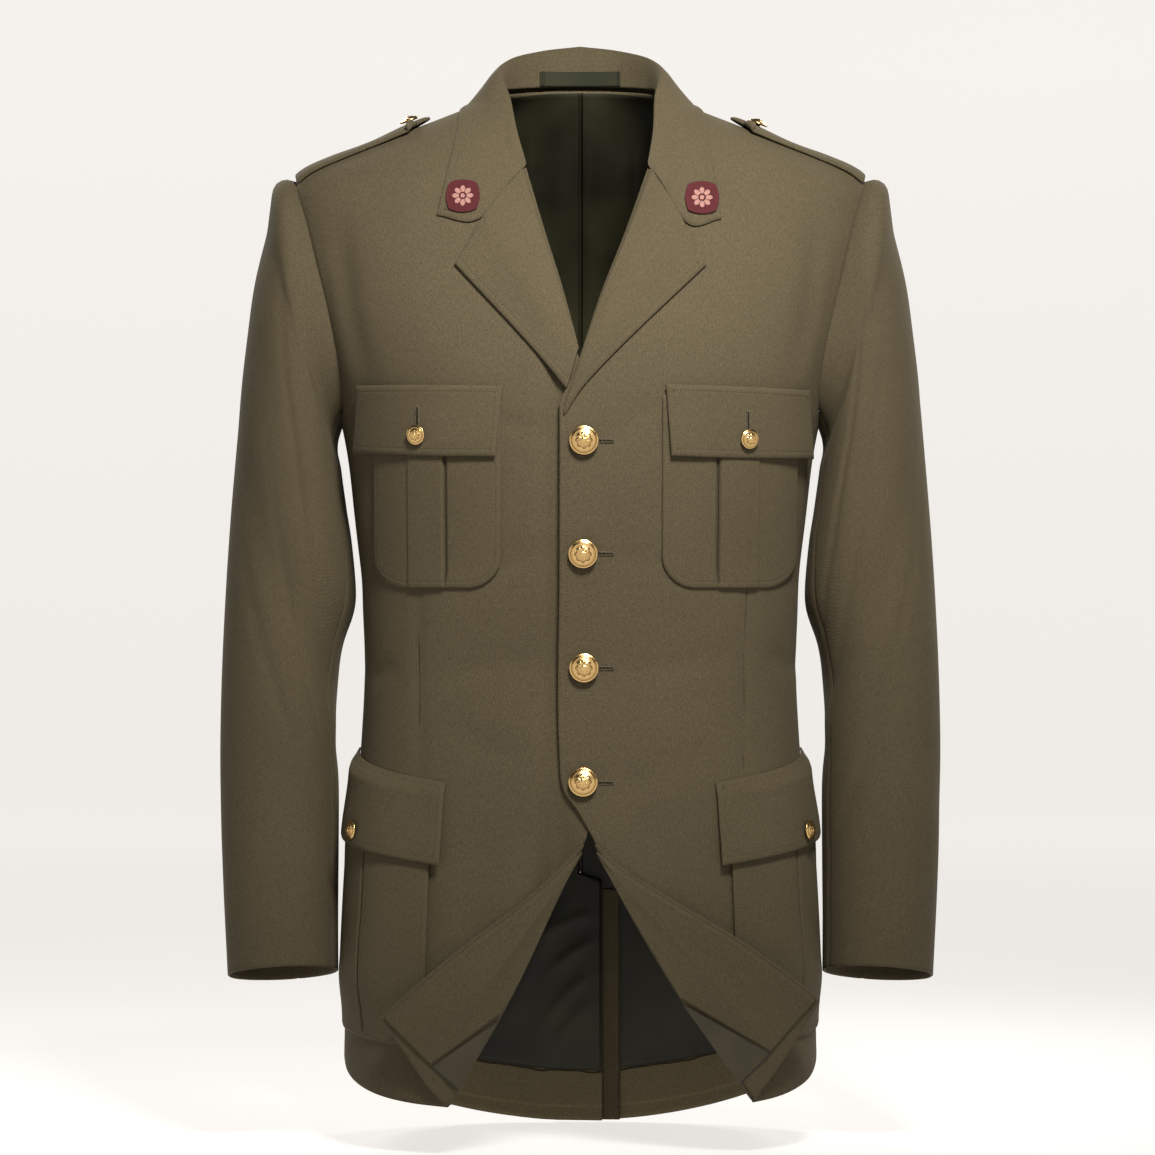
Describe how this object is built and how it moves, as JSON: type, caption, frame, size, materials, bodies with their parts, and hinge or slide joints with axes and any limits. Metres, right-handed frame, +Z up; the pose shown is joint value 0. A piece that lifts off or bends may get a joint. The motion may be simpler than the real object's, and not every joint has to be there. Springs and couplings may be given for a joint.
{
  "type": "service dress jacket",
  "caption": "Tailored wool uniform jacket filled out as if worn, with notched collar, epaulettes, flapped breast and lower bellows pockets, domed metal buttons and turned-back skirt corners.",
  "frame": {"origin": "foot of the neck, on the centre plane and on the line of the shoulder seams, where the wearer's shoulders hold the jacket", "axes": "+Z up, +X the wearer's left, -Y the front"},
  "size_m": [0.5792, 0.2782, 0.8835],
  "materials": {
    "olive_wool": "matt wool twill",
    "green_lining": "satin lining",
    "gilt_brass": "polished gilt",
    "badge_red": "matt felt"
  },
  "bodies": {
    "root": {"front_left": "olive_wool", "front_right": "olive_wool", "back_left": "olive_wool", "back_right": "olive_wool", "sleeve_top_left": "olive_wool", "sleeve_top_right": "olive_wool", "sleeve_under_left": "olive_wool", "sleeve_under_right": "olive_wool", "collar": "olive_wool", "lapel_left": "olive_wool", "lapel_right": "olive_wool", "corner_left": "olive_wool", "corner_right": "olive_wool", "skirt_facing_left": "olive_wool", "skirt_facing_right": "olive_wool", "hem_left": "olive_wool", "hem_right": "olive_wool", "vent_facing": "olive_wool", "epaulette_left": "olive_wool", "epaulette_right": "olive_wool", "breast_pocket_left": "olive_wool", "breast_pocket_right": "olive_wool", "breast_flap_left": "olive_wool", "breast_flap_right": "olive_wool", "lower_pocket_left": "olive_wool", "lower_pocket_right": "olive_wool", "lower_flap_left": "olive_wool", "lower_flap_right": "olive_wool", "corner_lining_left": "green_lining", "corner_lining_right": "green_lining", "lining_left": "green_lining", "lining_right": "green_lining", "hanger_loop": "green_lining", "front_button_1": "gilt_brass", "front_button_2": "gilt_brass", "front_button_3": "gilt_brass", "front_button_4": "gilt_brass", "breast_button_left": "gilt_brass", "breast_button_right": "gilt_brass", "lower_button_left": "gilt_brass", "lower_button_right": "gilt_brass", "epaulette_button_left": "gilt_brass", "epaulette_button_right": "gilt_brass", "badge_left": "badge_red", "badge_right": "badge_red"}
  },
  "joints": []
}
